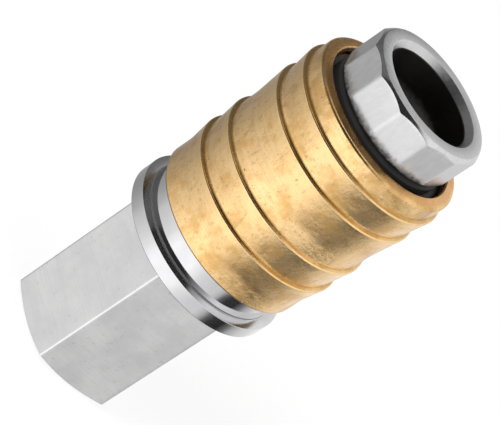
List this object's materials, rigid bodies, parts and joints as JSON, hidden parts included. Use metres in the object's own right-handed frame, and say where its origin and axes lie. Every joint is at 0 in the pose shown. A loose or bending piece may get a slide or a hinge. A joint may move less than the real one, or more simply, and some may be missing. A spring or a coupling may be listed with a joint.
{
  "type": "pneumatic quick coupler",
  "caption": "Compressed air quick coupler: hexagonal threaded inlet, polished collar, ribbed brass sleeve that slides back and turns, twelve-sided nose, ball lock and shut-off valve.",
  "frame": {"origin": "centre of the inlet end face, on the coupler's axis", "axes": "+Z along the coupler's axis, from the inlet to the plug socket; +X square to one flat of the hexagon"},
  "size_m": [0.029, 0.029, 0.0698],
  "materials": {
    "polished_steel": "bright nickel plate, polished on the collar and turned on the nose",
    "satin_steel": "satin plated steel, brushed along the flats",
    "sleeve_brass": "turned satin brass with light tarnish",
    "valve_brass": "turned brass",
    "seal_rubber": "matt black nitrile rubber",
    "spring_steel": "drawn spring wire",
    "black_steel": "black phosphated spring steel",
    "ball_steel": "polished ball bearing steel"
  },
  "bodies": {
    "root": {"coupler_body": "polished_steel", "inlet_connector": "satin_steel", "connector_o_ring": "seal_rubber", "plug_seal": "seal_rubber", "valve_seat_ring": "valve_brass", "valve_guide": "valve_brass", "stop_ring": "black_steel", "sleeve_spring": "spring_steel", "valve_spring": "spring_steel"},
    "sleeve_carrier": {"thrust_ring": "spring_steel"},
    "sleeve": {"release_sleeve": "sleeve_brass"},
    "valve": {"valve_poppet": "valve_brass", "valve_o_ring": "seal_rubber"},
    "ball_1": {"locking_ball_1": "ball_steel"},
    "ball_2": {"locking_ball_2": "ball_steel"},
    "ball_3": {"locking_ball_3": "ball_steel"},
    "ball_4": {"locking_ball_4": "ball_steel"},
    "ball_5": {"locking_ball_5": "ball_steel"},
    "ball_6": {"locking_ball_6": "ball_steel"},
    "ball_7": {"locking_ball_7": "ball_steel"},
    "ball_8": {"locking_ball_8": "ball_steel"}
  },
  "joints": [
    {"name": "sleeve_slide", "type": "slide", "parent": "root", "child": "sleeve_carrier", "axis": [0, 0, -1], "range_m": [0, 0.0034], "stiffness_N_per_m": 1500, "springref_m": -0.004, "deforming": ["sleeve_spring"]},
    {"name": "sleeve_spin", "type": "hinge", "parent": "sleeve_carrier", "child": "sleeve", "pos_m": [0, 0, 0.0461], "axis": [0, 0, 1], "continuous": true},
    {"name": "valve_slide", "type": "slide", "parent": "root", "child": "valve", "axis": [0, 0, -1], "range_m": [0, 0.003], "stiffness_N_per_m": 600, "springref_m": -0.005, "deforming": ["valve_spring"]},
    {"name": "ball_1_slide", "type": "slide", "parent": "root", "child": "ball_1", "axis": [1, 0, 0], "range_m": [0, 0.0013]},
    {"name": "ball_2_slide", "type": "slide", "parent": "root", "child": "ball_2", "axis": [0.7071, 0.7071, 0], "range_m": [0, 0.0013]},
    {"name": "ball_3_slide", "type": "slide", "parent": "root", "child": "ball_3", "axis": [0, 1, 0], "range_m": [0, 0.0013]},
    {"name": "ball_4_slide", "type": "slide", "parent": "root", "child": "ball_4", "axis": [-0.7071, 0.7071, 0], "range_m": [0, 0.0013]},
    {"name": "ball_5_slide", "type": "slide", "parent": "root", "child": "ball_5", "axis": [-1, 0, 0], "range_m": [0, 0.0013]},
    {"name": "ball_6_slide", "type": "slide", "parent": "root", "child": "ball_6", "axis": [-0.7071, -0.7071, 0], "range_m": [0, 0.0013]},
    {"name": "ball_7_slide", "type": "slide", "parent": "root", "child": "ball_7", "axis": [0, -1, 0], "range_m": [0, 0.0013]},
    {"name": "ball_8_slide", "type": "slide", "parent": "root", "child": "ball_8", "axis": [0.7071, -0.7071, 0], "range_m": [0, 0.0013]}
  ],
  "couplings": [
    {"joint": "ball_1_slide", "follows": "sleeve_slide", "ratio": 0.38235},
    {"joint": "ball_2_slide", "follows": "sleeve_slide", "ratio": 0.38235},
    {"joint": "ball_3_slide", "follows": "sleeve_slide", "ratio": 0.38235},
    {"joint": "ball_4_slide", "follows": "sleeve_slide", "ratio": 0.38235},
    {"joint": "ball_5_slide", "follows": "sleeve_slide", "ratio": 0.38235},
    {"joint": "ball_6_slide", "follows": "sleeve_slide", "ratio": 0.38235},
    {"joint": "ball_7_slide", "follows": "sleeve_slide", "ratio": 0.38235},
    {"joint": "ball_8_slide", "follows": "sleeve_slide", "ratio": 0.38235}
  ]
}
